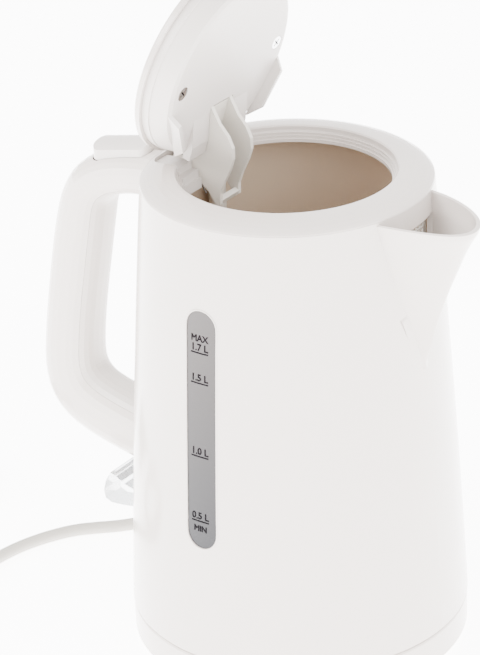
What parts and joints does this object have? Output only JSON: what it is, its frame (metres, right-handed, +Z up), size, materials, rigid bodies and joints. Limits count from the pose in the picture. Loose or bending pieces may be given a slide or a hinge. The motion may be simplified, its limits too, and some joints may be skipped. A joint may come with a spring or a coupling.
{
  "type": "electric kettle",
  "caption": "Lift-off jug kettle with a beak spout, D handle, side level window and sprung hinged lid, on a corded round power base.",
  "frame": {"origin": "on the jug's axis at the underside of the power base's middle foot, which is the level of the table", "axes": "+Z up along the jug's axis, +X towards the spout, -X towards the handle, the level window on the -Y side"},
  "size_m": [0.3363, 0.1915, 0.3149],
  "materials": {
    "white_gloss": "moulded, glossy",
    "white_satin": "moulded, satin",
    "cream_plastic": "moulded, satin",
    "clear_smoke": "clear moulding over a dark space",
    "clear_plastic": "clear moulding",
    "nylon_mesh": "fine nylon mesh",
    "steel": "plated",
    "spring_steel": "drawn wire",
    "chrome": "plated",
    "stainless": "brushed",
    "silicone": "moulded",
    "rubber": "moulded",
    "aluminium": "cast",
    "black_plastic": "moulded",
    "brass": "bare",
    "brass_pin": "nickel plated",
    "lamp": "clear amber",
    "cord_grey": "flexible sheath"
  },
  "bodies": {
    "power_base": {"base_top": "white_gloss", "base_bottom": "white_satin", "base_post": "black_plastic", "post_contacts": "brass", "base_feet": "rubber", "base_screws": "steel", "cord_gland": "cord_grey", "mains_cord": "cord_grey", "cord_coil": "cord_grey", "plug_body": "cord_grey", "plug_pins": "brass_pin"},
    "jug": {"jug_body": "white_gloss", "spout": "white_gloss", "collar": "white_gloss", "water_gauge": "clear_smoke", "spout_filter": "cream_plastic", "filter_mesh": "nylon_mesh", "hinge_bracket": "white_satin", "hinge_pin": "steel", "lid_spring": "spring_steel", "handle_shell": "white_gloss", "handle_inner": "white_satin", "handle_screw": "steel", "button_spring": "spring_steel", "lever_pin": "steel", "indicator_lamp": "lamp", "element_plate": "stainless", "element_seal": "silicone", "heating_element": "aluminium", "thermostat": "black_plastic", "jug_socket": "black_plastic", "socket_contacts": "brass", "steam_tube": "cream_plastic", "bottom_cover": "white_satin", "bottom_screws": "steel"},
    "lid": {"lid_top_cover": "white_gloss", "lid_inner_cover": "white_satin", "lid_screws": "chrome", "lid_arm": "cream_plastic"},
    "release_button": {"release_button": "white_satin", "lid_latch": "cream_plastic"},
    "switch_lever": {"switch_lever": "clear_plastic"}
  },
  "joints": [
    {"name": "jug_lift", "type": "slide", "parent": "power_base", "child": "jug", "axis": [0, 0, 1], "range_m": [0, 0.06]},
    {"name": "lid_hinge", "type": "hinge", "parent": "jug", "child": "lid", "pos_m": [-0.0525, 0, 0.2185], "axis": [0, 1, 0], "range_deg": [0, 72], "stiffness_Nm_per_rad": 0.12, "springref_deg": -51.57},
    {"name": "button_press", "type": "slide", "parent": "jug", "child": "release_button", "axis": [0, 0, -1], "range_m": [0, 0.003], "stiffness_N_per_m": 600, "springref_m": -0.002, "deforming": ["button_spring"]},
    {"name": "switch_rock", "type": "hinge", "parent": "jug", "child": "switch_lever", "pos_m": [-0.068, 0, 0.043], "axis": [0, -1, 0], "range_deg": [0, 14]}
  ]
}
